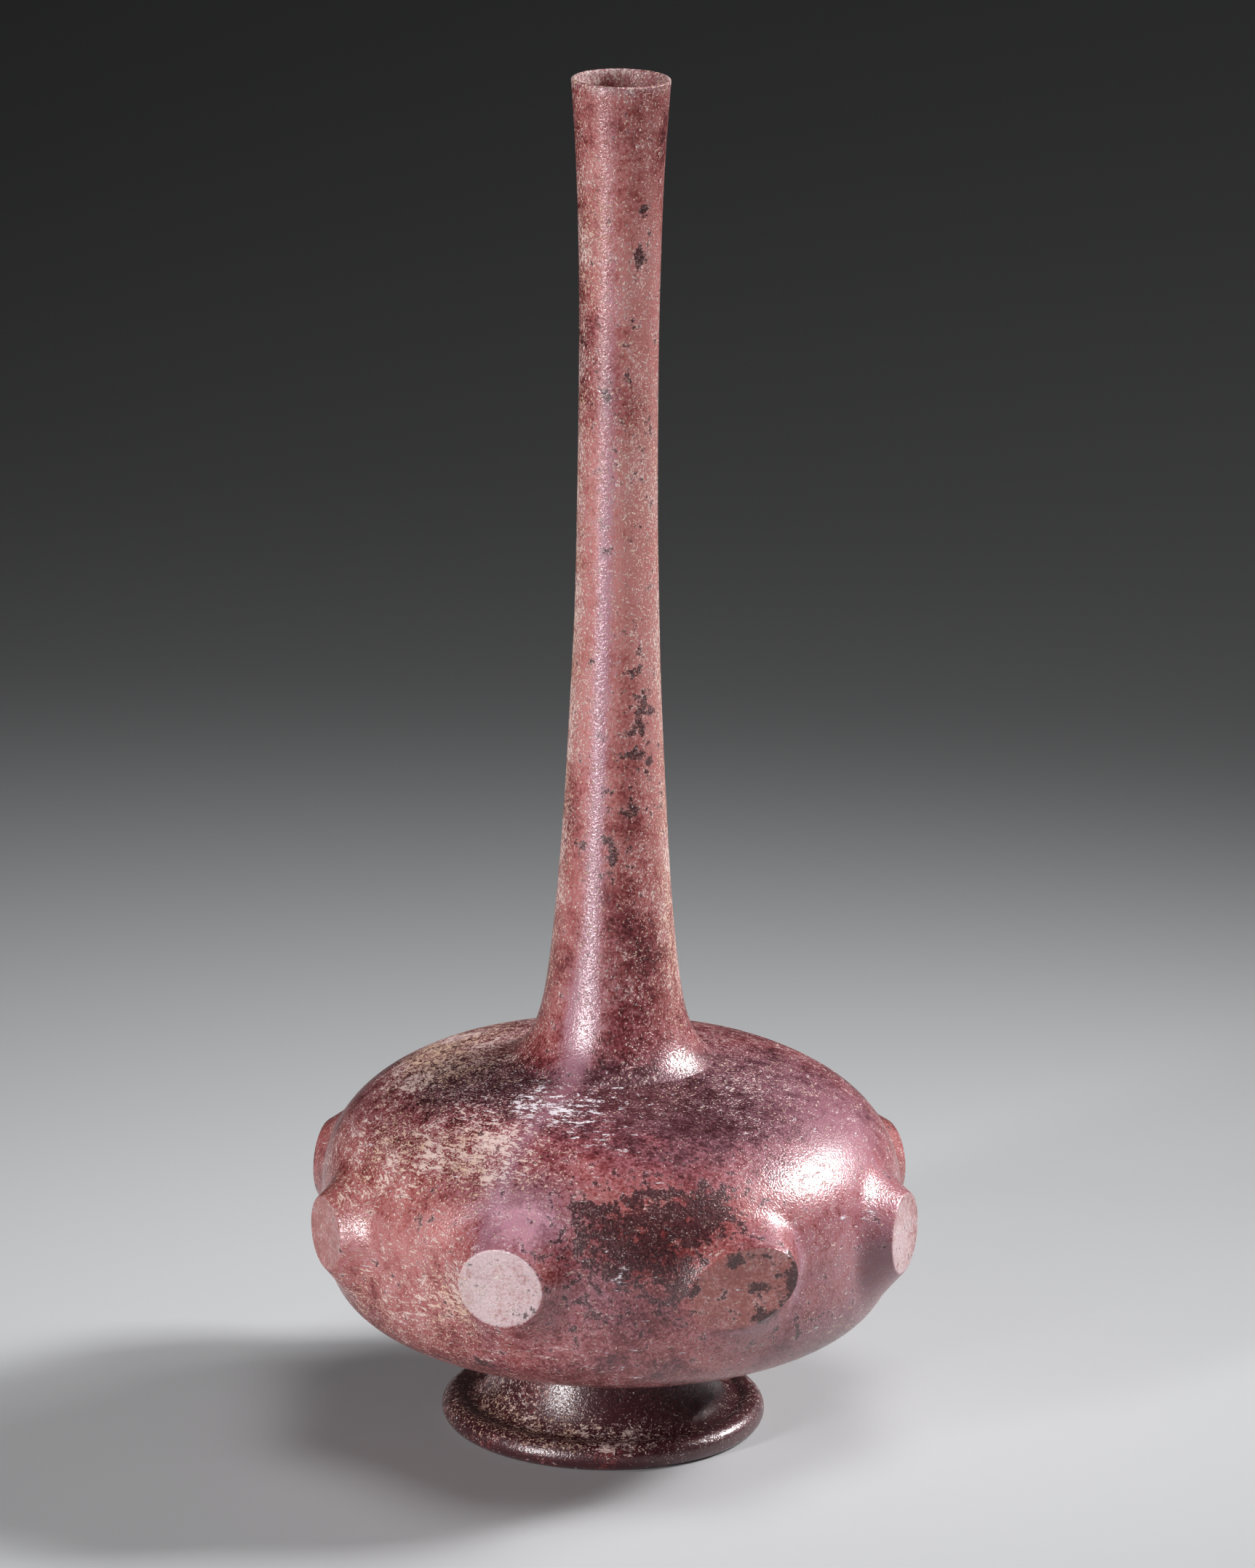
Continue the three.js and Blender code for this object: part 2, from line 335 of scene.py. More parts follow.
def add_body(rings, lines, shoulder_count, belly_count):
    """The body, from the root of the neck down to the underside."""
    columns, per_boss = grid_bearings(lines)
    count = len(columns)
    even = columns[0] + np.arange(count) * 2.0 * math.pi / count
    wall = BODY_WALL if rings.inside else 0.0
    base = BASE_WALL if rings.inside else 0.0
    start = 2.0 / math.pi * math.asin((BLOCK / (SHOULDER_RISE - wall)) ** (SHOULDER_FULLNESS / 2.0))
    for t in np.linspace(SHOULDER_START, start, shoulder_count, endpoint=False):
        z = EQUATOR_Z + (SHOULDER_RISE - wall) * math.sin(math.pi / 2.0 * t) ** (2.0 / SHOULDER_FULLNESS)
        near = 1.0 - smooth((t - start) / (1.0 - start))
        bearing = mix(even, columns, near)
        height = z + row_tilt(bearing) * near
        rings.add(bearing, vessel_radius(height, rings.inside), height)
    for up in reversed(lines):
        parts = []
        for number, boss in enumerate(BOSSES):
            across, rise = spread_over_boss(lines, np.full(len(lines), up), boss, rings.inside)
            outward, sideways, z, beyond = boss_surface(across, rise, boss, rings.inside)
            bearing = boss.bearing + np.arctan2(sideways, outward)
            parts.append((bearing, np.hypot(outward, sideways), z, beyond))
            gap = columns[number * per_boss + len(lines) : (number + 1) * per_boss]
            z = EQUATOR_Z + up + row_tilt(gap)
            parts.append((gap, vessel_radius(z, rings.inside), z, np.full(len(gap), FAR)))
        bearing, radius, z, beyond = (np.concatenate(part) for part in zip(*parts))
        rings.add(bearing, radius, z, beyond=beyond)
    depth = BELLY_DEPTH - base
    start = 2.0 / math.pi * math.acos((BLOCK / depth) ** (BELLY_FULLNESS / 2.0))
    for t in np.linspace(start, BELLY_END, belly_count + 1)[1:]:
        near = smooth((t - BELLY_END) / (start - BELLY_END))
        bearing = mix(even, columns, near)
        radius = (BODY_RADIUS - wall) * math.sin(math.pi / 2.0 * t) ** (2.0 / BELLY_FULLNESS)
        z = EQUATOR_Z - depth * math.cos(math.pi / 2.0 * t) ** (2.0 / BELLY_FULLNESS)
        height = z + row_tilt(bearing) * near
        rings.add(bearing, np.where(near > 0, vessel_radius(height, rings.inside), radius), height)
    return even


def kick(radius):
    """Rise of the pushed-up base at a distance from the axis."""
    t = np.clip(radius / KICK_RADIUS, 0.0, 1.0)
    return KICK_DEPTH * (1.0 - t * t) ** 2


def foot_curve():
    """(radius, z, share of the foot's offset) down the foot, from under the body to inside its hollow."""
    roll_centre = FOOT_RADIUS - ROLL_RADIUS
    half = RESTING_WIDTH / 2.0
    roll_z = math.sqrt(ROLL_RADIUS**2 - half**2)
    top_z = FOOT_HEIGHT + FOOT_WELD
    edge_radius = roll_centre + ROLL_RADIUS * math.cos(math.radians(135.0))
    edge_z = roll_z + ROLL_RADIUS * math.sin(math.radians(135.0))

    def splay(t, start, end, low):
        return mix(start, end, t), low + (top_z - low) * t**FOOT_SPLAY

    curve = []
    weld = np.array([WELD_RADIUS, EQUATOR_Z - belly_depth_at(WELD_RADIUS, BELLY_DEPTH)])
    corner = np.array(WELD_CORNER)
    stem = np.array(splay(0.95, edge_radius, STEM_RADIUS, edge_z))
    for t in np.linspace(0.0, 1.0, 6):
        radius, z = (1.0 - t) ** 2 * weld + 2.0 * t * (1.0 - t) * corner + t * t * stem
        curve.append((radius, z, t))
    for t in np.linspace(0.95, 0.0, 15)[1:]:
        curve.append((*splay(t, edge_radius, STEM_RADIUS, edge_z), 1.0))
    flat = math.asin(roll_z / ROLL_RADIUS)
    for angle in np.linspace(math.radians(135.0), -flat, 19)[1:]:
        radius = roll_centre + ROLL_RADIUS * math.cos(angle)
        curve.append((radius, roll_z + ROLL_RADIUS * math.sin(angle), 1.0))
    curve.append((roll_centre - half, 0.0, 1.0))
    for t in np.linspace(0.0, 0.965, 11):
        curve.append((*splay(t, roll_centre - ROLL_RADIUS, STEM_RADIUS - FOOT_WALL, roll_z), 1.0))
    for radius in (14.3, 12.5, 10.0, 7.5, 5.0, 2.5):
        curve.append((radius, FOOT_HEIGHT + kick(radius), smooth((radius - 5.0) / 10.0)))
    return curve


def join_rings(rings):
    """Faces between rings that follow each other. A ring may have half or twice the points of the last."""
    starts = np.cumsum([0] + [len(ring) for ring in rings])
    faces = []
    for number in range(len(rings) - 1):
        above, below = len(rings[number]), len(rings[number + 1])
        top, low = starts[number], starts[number + 1]
        for i in range(min(above, below)):
            j = (i + 1) % min(above, below)
            if above == below:
                faces.append((top + i, low + i, low + j, top + j))
            elif above < below:
                middle = low + 2 * i + 1
                faces += [(top + i, low + 2 * i, middle), (top + i, middle, top + j)]
                faces.append((top + j, middle, low + 2 * j))
            else:
                middle = top + 2 * i + 1
                faces += [(low + i, middle, top + 2 * i), (low + i, low + j, middle)]
                faces.append((low + j, top + 2 * j, middle))
    return faces


def outer_rings():
    """All rings of the outside, from the lip to the middle of the foot's hollow."""
    lines = boss_lines()
    outer = Rings(inside=False)
    columns, _ = grid_bearings(lines)
    even = columns[0] + np.arange(len(columns) // 2) * 4.0 * math.pi / len(columns)
    half = MOUTH_WALL / 2.0
    lip_radius = float(neck_radius(np.array(RIM_Z - half))) - half
    for angle in np.linspace(90.0, 0.0, LIP_STEPS)[:-1]:
        round_lip = math.radians(angle)
        outer.add(even, lip_radius + half * math.cos(round_lip), RIM_Z - half + half * math.sin(round_lip))
    add_neck(outer, NECK_RINGS, even)
    add_body(outer, lines, SHOULDER_RINGS, BELLY_RINGS)
    for radius, z, share in foot_curve():
        outer.add(even, radius, z, FOOT_OFFSET * share)
    return outer


def inner_rings():
    """All rings of the inside, from the lip to the floor, on a grid half as fine."""
    lines = boss_lines()[::2]
    inner = Rings(inside=True)
    columns, _ = grid_bearings(lines)
    even = columns[0] + np.arange(len(columns)) * 2.0 * math.pi / len(columns)
    half = MOUTH_WALL / 2.0
    lip_radius = float(neck_radius(np.array(RIM_Z - half))) - half
    for angle in np.linspace(90.0, 180.0, LIP_STEPS)[1:-1]:
        round_lip = math.radians(angle)
        inner.add(even, lip_radius + half * math.cos(round_lip), RIM_Z - half + half * math.sin(round_lip))
    add_neck(inner, NECK_RINGS // 2, even)
    add_body(inner, lines, SHOULDER_RINGS // 2, BELLY_RINGS // 2)
    for radius in (19.0, 16.0, 13.5, 11.0, 8.5, 6.0, 3.0):
        z = EQUATOR_Z - belly_depth_at(radius, BELLY_DEPTH - BASE_WALL)
        inner.add(even, radius, z + kick(radius))
    return inner


def patch(spot, at, height, wide, tall):
    """1 in the middle of a patch on the wall, falling to 0 round it. Wide runs along the wall, tall up it."""
    bearing, z, radius = spot
    turn = np.angle(np.exp(1j * (bearing - math.radians(at))))
    along = turn * np.maximum(radius, 5.0) / wide
    up = (z - height) / tall
    return np.exp(-(along**2 + up**2))


def between(z, low, high, soft):
    """1 between two heights, with soft ends."""
    return smooth((z - low) / soft) * smooth((high - z) / soft)


def pressed_face(beyond):
    """1 on the pressed faces of the bosses."""
    return 1.0 - smooth((beyond + 0.25) / 0.45)


def film_cover_and_painted_light(spot):
    """Where the dull rose film hides the purple glass, 1 where thick and 0 where bare, with painted light and
    shade in a few patches.
    """
    z = spot[1]
    cover_and_painted_light = np.full(len(z), 0.62)
    cover_and_painted_light += 0.34 * between(z, 84.0, 262.0, 40.0)
    cover_and_painted_light += 0.14 * smooth((z - 225.0) / 20.0)
    cover_and_painted_light -= 0.42 * patch(spot, at=-55.0, height=210.0, wide=5.0, tall=9.0)
    cover_and_painted_light -= 0.35 * patch(spot, at=-75.0, height=225.0, wide=3.0, tall=40.0)
    cover_and_painted_light -= 0.30 * patch(spot, at=0.0, height=200.0, wide=9.0, tall=7.0)
    cover_and_painted_light -= 0.45 * patch(spot, at=62.0, height=246.0, wide=2.5, tall=14.0)
    cover_and_painted_light -= 0.30 * patch(spot, at=20.0, height=132.0, wide=4.0, tall=20.0)
    cover_and_painted_light -= 0.40 * patch(spot, at=-58.0, height=121.0, wide=4.0, tall=7.0)
    cover_and_painted_light += 0.15 * patch(spot, at=25.0, height=170.0, wide=7.0, tall=14.0)
    cover_and_painted_light -= 0.55 * patch(spot, at=-66.0, height=69.9, wide=17.0, tall=2.6)
    cover_and_painted_light -= 0.40 * patch(spot, at=-20.0, height=72.0, wide=22.0, tall=3.0)
    cover_and_painted_light -= 0.22 * patch(spot, at=30.0, height=76.0, wide=12.0, tall=6.0)
    cover_and_painted_light -= 0.82 * patch(spot, at=46.0, height=70.0, wide=24.0, tall=4.5)
    cover_and_painted_light -= 0.35 * patch(spot, at=15.0, height=98.0, wide=7.0, tall=24.0)
    cover_and_painted_light -= 0.15 * patch(spot, at=10.0, height=250.0, wide=8.0, tall=10.0)
    cover_and_painted_light += 0.20 * patch(spot, at=-50.0, height=46.0, wide=20.0, tall=14.0)
    cover_and_painted_light += 0.20 * patch(spot, at=60.0, height=48.0, wide=18.0, tall=14.0)
    # Painted light: a lighter film down the lit right side of the neck
    cover_and_painted_light += 0.45 * patch(spot, at=68.0, height=175.0, wide=6.0, tall=80.0)
    # Painted light: a lighter film on the lit flank of the right boss
    cover_and_painted_light += 0.35 * patch(spot, at=68.0, height=41.0, wide=8.0, tall=8.0)
    cover_and_painted_light += 0.12 * patch(spot, at=5.0, height=65.0, wide=15.0, tall=5.0)
    cover_and_painted_light -= 0.25 * patch(spot, at=2.0, height=40.0, wide=16.0, tall=12.0)
    cover_and_painted_light -= 0.20 * patch(spot, at=0.0, height=28.0, wide=22.0, tall=5.0)
    cover_and_painted_light -= 0.15 * between(z, 59.0, 74.0, 4.0)
    cover_and_painted_light -= 0.65 * (1.0 - smooth((z - 16.5) / 3.0))
    # Painted shade: less film on the foot's right, in the shade under the body
    cover_and_painted_light -= 0.60 * patch(spot, at=45.0, height=9.0, wide=22.0, tall=8.0)
    return cover_and_painted_light


def lilac_haze_and_painted_highlights(spot, face, boss_bloom):
    """Where the weathered skin scatters a cool lilac light, on the wall and on some pressed faces, and where
    highlights, sheen and a lit flank are painted.
    """
    z = spot[1]
    haze_and_painted_highlight = 0.10 + 0.0 * z
    # Partly painted sheen: lilac skin and the broad sheen of the right lamps on the body's right side
    haze_and_painted_highlight += 0.62 * patch(spot, at=62.0, height=48.0, wide=26.0, tall=26.0)
    haze_and_painted_highlight += 1.4 * patch(spot, at=-18.0, height=56.5, wide=9.0, tall=4.5)
    # Painted highlight low on the left of the neck, where the left strip lamp shines
    haze_and_painted_highlight += 0.25 * patch(spot, at=-24.0, height=90.0, wide=6.0, tall=16.0)
    haze_and_painted_highlight += 0.26 * between(z, 55.0, 78.0, 8.0)
    haze_and_painted_highlight += 0.20 * patch(spot, at=-8.0, height=38.0, wide=48.0, tall=15.0)
    haze_and_painted_highlight -= 0.30 * patch(spot, at=48.0, height=71.0, wide=18.0, tall=4.0)
    haze_and_painted_highlight += 0.40 * patch(spot, at=-3.0, height=46.0, wide=8.0, tall=9.0)
    # Partly painted sheen: lilac skin and the glow round the highlight on the far right of the body
    haze_and_painted_highlight += 0.45 * patch(spot, at=75.0, height=66.0, wide=15.0, tall=8.0)
    # Painted highlight: a pale rim to the right of, above and below the face of the front right boss
    haze_and_painted_highlight += 0.95 * patch(spot, at=38.6, height=45.5, wide=1.8, tall=7.0)
    haze_and_painted_highlight += 0.50 * patch(spot, at=30.0, height=54.0, wide=5.0, tall=2.0)
    haze_and_painted_highlight += 0.60 * patch(spot, at=28.0, height=36.0, wide=8.0, tall=1.0)
    haze_and_painted_highlight += 0.55 * patch(spot, at=52.0, height=30.0, wide=16.0, tall=4.0)
    # Painted highlight: a pale line round the lip
    haze_and_painted_highlight += 0.6 * smooth((z - RIM_Z + 0.9) / 0.5)
    # Painted light: the lit flank of the right boss, made paler
    haze_and_painted_highlight += 0.45 * patch(spot, at=67.0, height=41.0, wide=8.0, tall=8.0)
    haze_and_painted_highlight += 0.30 * patch(spot, at=-57.0, height=47.0, wide=6.0, tall=6.0)
    # Painted highlights: a long strip down the left of the neck, and a glow at its root, over the lilac skin
    haze_and_painted_highlight += 1.2 * patch(spot, at=-24.0, height=140.0, wide=1.7, tall=90.0)
    haze_and_painted_highlight += 1.4 * patch(spot, at=-29.0, height=83.0, wide=3.0, tall=9.0)
    haze_and_painted_highlight -= 0.25 * (1.0 - smooth((z - 16.0) / 3.0))
    return haze_and_painted_highlight + face * boss_bloom


def magenta_lustre(spot):
    """Where the split layers show a magenta sheen."""
    return 0.85 * patch(spot, at=-17.0, height=56.5, wide=7.0, tall=3.5)


def dark_deposit_and_painted_shade(spot):
    """Density of the dark manganese stain that spreads over the front in tree-like clusters, and of painted
    shade on the foot's right under the body.
    """
    stain_and_shade = 1.15 * patch(spot, at=8.0, height=57.5, wide=15.0, tall=6.5)
    stain_and_shade += 0.55 * patch(spot, at=21.0, height=58.5, wide=7.0, tall=4.0)
    stain_and_shade += 0.90 * patch(spot, at=5.0, height=49.5, wide=9.0, tall=4.5)
    stain_and_shade += 0.65 * patch(spot, at=14.0, height=46.0, wide=3.0, tall=5.0)
    stain_and_shade += 0.45 * patch(spot, at=-8.0, height=52.0, wide=6.0, tall=7.0)
    stain_and_shade += 0.50 * patch(spot, at=2.0, height=40.0, wide=17.0, tall=6.0)
    stain_and_shade += 0.50 * patch(spot, at=38.0, height=34.5, wide=10.0, tall=2.5)
    stain_and_shade += 1.55 * patch(spot, at=33.0, height=46.2, wide=2.0, tall=4.4)
    stain_and_shade += 1.35 * patch(spot, at=27.7, height=45.2, wide=2.8, tall=1.2)
    stain_and_shade += 1.4 * patch(spot, at=29.3, height=39.6, wide=3.6, tall=1.4)
    stain_and_shade += 1.0 * patch(spot, at=23.0, height=50.2, wide=1.8, tall=1.8)
    stain_and_shade += 1.0 * patch(spot, at=27.6, height=51.6, wide=1.8, tall=0.9)
    # Painted shade: a dark patch on the foot's right, in the shade under the body
    stain_and_shade += 1.3 * patch(spot, at=50.0, height=11.0, wide=17.0, tall=4.5)
    stain_and_shade += 0.40 * patch(spot, at=-28.0, height=26.0, wide=12.0, tall=2.5)
    stain_and_shade += 0.42 * patch(spot, at=14.0, height=134.0, wide=6.0, tall=19.0)
    stain_and_shade += 0.35 * patch(spot, at=32.0, height=139.0, wide=2.0, tall=10.0)
    stain_and_shade += 0.45 * patch(spot, at=-60.0, height=119.0, wide=3.0, tall=5.0)
    stain_and_shade += 0.25 * patch(spot, at=0.0, height=200.0, wide=8.0, tall=8.0)
    stain_and_shade += 0.75 * patch(spot, at=22.0, height=236.0, wide=1.6, tall=2.2)
    stain_and_shade += 0.75 * patch(spot, at=21.0, height=227.0, wide=1.8, tall=2.4)
    stain_and_shade += 0.60 * patch(spot, at=22.0, height=193.0, wide=1.0, tall=2.0)
    stain_and_shade += 0.50 * patch(spot, at=-14.0, height=116.0, wide=3.0, tall=6.0)
    stain_and_shade += 0.60 * patch(spot, at=160.0, height=52.0, wide=16.0, tall=7.0)
    stain_and_shade += 0.50 * patch(spot, at=-120.0, height=40.0, wide=14.0, tall=6.0)
    return stain_and_shade


def cream_crust(spot):
    """Density of the cream flecks that are left of a lime crust, thinned on the foot's right as part of its
    painted shade.
    """
    z = spot[1]
    crust = 0.25 + 0.0 * z
    crust += 0.60 * patch(spot, at=-38.0, height=63.5, wide=22.0, tall=4.5)
    crust += 0.38 * patch(spot, at=-62.0, height=57.0, wide=14.0, tall=8.0)
    crust += 0.35 * patch(spot, at=-31.0, height=67.0, wide=8.0, tall=2.5)
    crust += 0.60 * patch(spot, at=-30.0, height=40.5, wide=9.0, tall=7.0)
    crust += 0.36 * patch(spot, at=-50.0, height=31.0, wide=24.0, tall=8.0)
    crust += 0.12 * patch(spot, at=-46.0, height=48.0, wide=24.0, tall=16.0)
    crust += 0.85 * patch(spot, at=-105.0, height=69.0, wide=20.0, tall=3.2)
    crust += 0.15 * patch(spot, at=60.0, height=70.5, wide=24.0, tall=3.0)
    crust -= 0.30 * patch(spot, at=8.0, height=66.0, wide=20.0, tall=5.0)
    crust += 0.36 * patch(spot, at=60.0, height=96.0, wide=4.0, tall=18.0)
    crust += 0.55 * patch(spot, at=-80.0, height=150.0, wide=4.0, tall=80.0)
    crust += 0.35 * patch(spot, at=-55.0, height=232.0, wide=5.0, tall=12.0)
    crust += 0.25 * patch(spot, at=20.0, height=190.0, wide=7.0, tall=20.0)
    crust += 0.12 * smooth((z - 80.0) / 10.0)
    crust += 0.45 * smooth((z - RIM_Z + 0.9) / 0.5)
    crust += 0.40 * patch(spot, at=52.0, height=30.0, wide=14.0, tall=4.0)
    crust += 0.45 * patch(spot, at=80.0, height=135.0, wide=4.0, tall=60.0)
    crust += 0.40 * patch(spot, at=150.0, height=62.0, wide=22.0, tall=6.0)
    crust += 0.35 * patch(spot, at=-150.0, height=66.0, wide=20.0, tall=5.0)
    crust += 0.29 * patch(spot, at=-65.0, height=7.0, wide=20.0, tall=8.0)
    crust += 0.44 * patch(spot, at=0.0, height=5.2, wide=26.0, tall=1.8)
    crust -= 0.50 * patch(spot, at=0.0, height=1.0, wide=50.0, tall=1.8)
    # Painted shade: fewer flecks on the foot's right, in the shade under the body
    crust -= 0.40 * patch(spot, at=45.0, height=10.0, wide=18.0, tall=6.0)
    return crust


def white_frost(spot):
    """Density of the bluish white crust round the root of the neck."""
    frost = 0.70 * patch(spot, at=-25.0, height=70.9, wide=13.0, tall=1.8)
    frost += 0.38 * patch(spot, at=-6.0, height=68.8, wide=8.0, tall=1.4)
    frost += 0.5 * patch(spot, at=-170.0, height=69.5, wide=14.0, tall=2.0)
    return frost


def see_through(spot):
    """Where the film is thin enough to look through the wall."""
    z = spot[1]
    clear = 0.8 * patch(spot, at=58.0, height=26.0, wide=16.0, tall=6.0)
    clear += 0.3 * patch(spot, at=60.0, height=36.0, wide=14.0, tall=8.0)
    clear += 0.15 * smooth((z - 235.0) / 25.0)
    return clear


def path_down(rings):
    """Distance of every point from the lip, measured down the wall."""
    radius = np.array([np.hypot(ring[:, 0], ring[:, 1]).mean() for ring in rings])
    z = np.array([ring[:, 2].mean() for ring in rings])
    path = np.concatenate([[0.0], np.cumsum(np.hypot(np.diff(radius), np.diff(z)))])
    return np.concatenate([np.full(len(ring), length) for ring, length in zip(rings, path)])


def glass_mesh():
    """The whole flask as one closed skin: down the outside and under the foot, and down the inside."""
    outer = outer_rings()
    inner = inner_rings()
    outside = np.concatenate(outer.rings)
    inside = np.concatenate(inner.rings)
    bottom = np.array([[0.0, 0.0, FOOT_HEIGHT + KICK_DEPTH]])
    floor = np.array([[0.0, 0.0, FOOT_HEIGHT + BASE_WALL + KICK_DEPTH]])
    points = np.concatenate([outside, inside, bottom, floor])
    faces = join_rings(outer.rings)
    first = len(outside)
    flipped = [tuple(first + i for i in reversed(face)) for face in join_rings(inner.rings)]
    round_lip = len(outer.rings[0])
    lip = [(i, (i + 1) % round_lip, first + (i + 1) % round_lip, first + i) for i in range(round_lip)]
    last_out = first - len(outer.rings[-1])
    last_in = first + len(inside) - len(inner.rings[-1])
    middle_out = first + len(inside)
    fan = []
    for i in range(len(outer.rings[-1])):
        j = (i + 1) % len(outer.rings[-1])
        fan.append((last_out + i, middle_out, last_out + j))
    for i in range(len(inner.rings[-1])):
        j = (i + 1) % len(inner.rings[-1])
        fan.append((last_in + j, middle_out + 1, last_in + i))
    mesh = bpy.data.meshes.new("flask_glass")
    mesh.from_pydata((points * MM).tolist(), [], faces + lip + flipped + fan)
    mesh.shade_smooth()
    beyond = np.concatenate(outer.beyond + inner.beyond + [np.array([FAR, FAR])])
    down = np.concatenate([path_down(outer.rings), path_down(inner.rings), np.zeros(2)])
    return mesh, points, beyond, down, len(faces) + len(lip)


def keep(mesh, name, values):
    """Stores one number a point on the mesh, for the materials to read."""
    layer = mesh.attributes.new(name, "FLOAT", "POINT")
    layer.data.foreach_set("value", np.asarray(values, dtype=np.float32))


def colour(hex_value):
    """An sRGB hex colour as linear RGBA."""
    channels = [int(hex_value[i : i + 2], 16) / 255.0 for i in (1, 3, 5)]
    return tuple(c / 12.92 if c <= 0.04045 else ((c + 0.055) / 1.055) ** 2.4 for c in channels) + (1.0,)


def add(tree, kind, inputs=None, **settings):
    """Adds a node with its settings, and sets each named input or links it to another node's output."""
    node = tree.nodes.new(kind)
    for name, value in settings.items():
        setattr(node, name, value)
    for name, value in (inputs or {}).items():
        if isinstance(value, bpy.types.NodeSocket):
            tree.links.new(value, node.inputs[name])
        else:
            node.inputs[name].default_value = value
    return node


def new_material(name):
    material = bpy.data.materials.new(name)
    material.use_nodes = True
    material.node_tree.nodes.clear()
    return material, material.node_tree


def per_mm(size):
    """Scale of a pattern whose features are that many millimetres across."""
    return 1.0 / (size * MM)


def stored(tree, name):
    """A number that the mesh keeps for the material."""
    return add(tree, "ShaderNodeAttribute", attribute_name=name).outputs["Fac"]


def weighted(tree, start, *terms):
    """start plus each (value, weight, middle): the value's distance from its middle, times its weight."""
    total = start
    for value, weight, middle in terms:
        product = {0: value, 1: weight, 2: -middle * weight}
        part = add(tree, "ShaderNodeMath", product, operation="MULTIPLY_ADD")
        total = add(tree, "ShaderNodeMath", {0: total, 1: part.outputs[0]}, operation="ADD").outputs[0]
    return total


def stepped(tree, value, low, high, bottom=0.0, top=1.0):
    """value read as bottom below low, top above high, and softly between."""
    limits = {"Value": value, "From Min": low, "From Max": high, "To Min": bottom, "To Max": top}
    return add(tree, "ShaderNodeMapRange", limits, interpolation_type="SMOOTHSTEP").outputs["Result"]


def blended(tree, share, first, second):
    """first where share is 0 and second where it is 1."""
    return add(tree, "ShaderNodeMix", {"Factor": share, 6: first, 7: second}, data_type="RGBA").outputs[2]


def streaked_place(tree, place):
    """Places on the wall squeezed round the axis, so that a pattern is drawn out along the shoulder."""
    flat = add(tree, "ShaderNodeVectorMath", {0: place, 1: (1.0, 1.0, 0.0)}, operation="MULTIPLY").outputs[0]
    around = add(tree, "ShaderNodeVectorMath", {0: flat}, operation="NORMALIZE").outputs[0]
    squeezed = {0: around, "Scale": STREAK_RADIUS * MM}
    ring = add(tree, "ShaderNodeVectorMath", squeezed, operation="SCALE").outputs[0]
    down = add(tree, "ShaderNodeMath", {0: stored(tree, "down"), 1: MM}, operation="MULTIPLY").outputs[0]
    height = add(tree, "ShaderNodeCombineXYZ", {"Z": down}).outputs[0]
    return add(tree, "ShaderNodeVectorMath", {0: ring, 1: height}, operation="ADD").outputs[0]


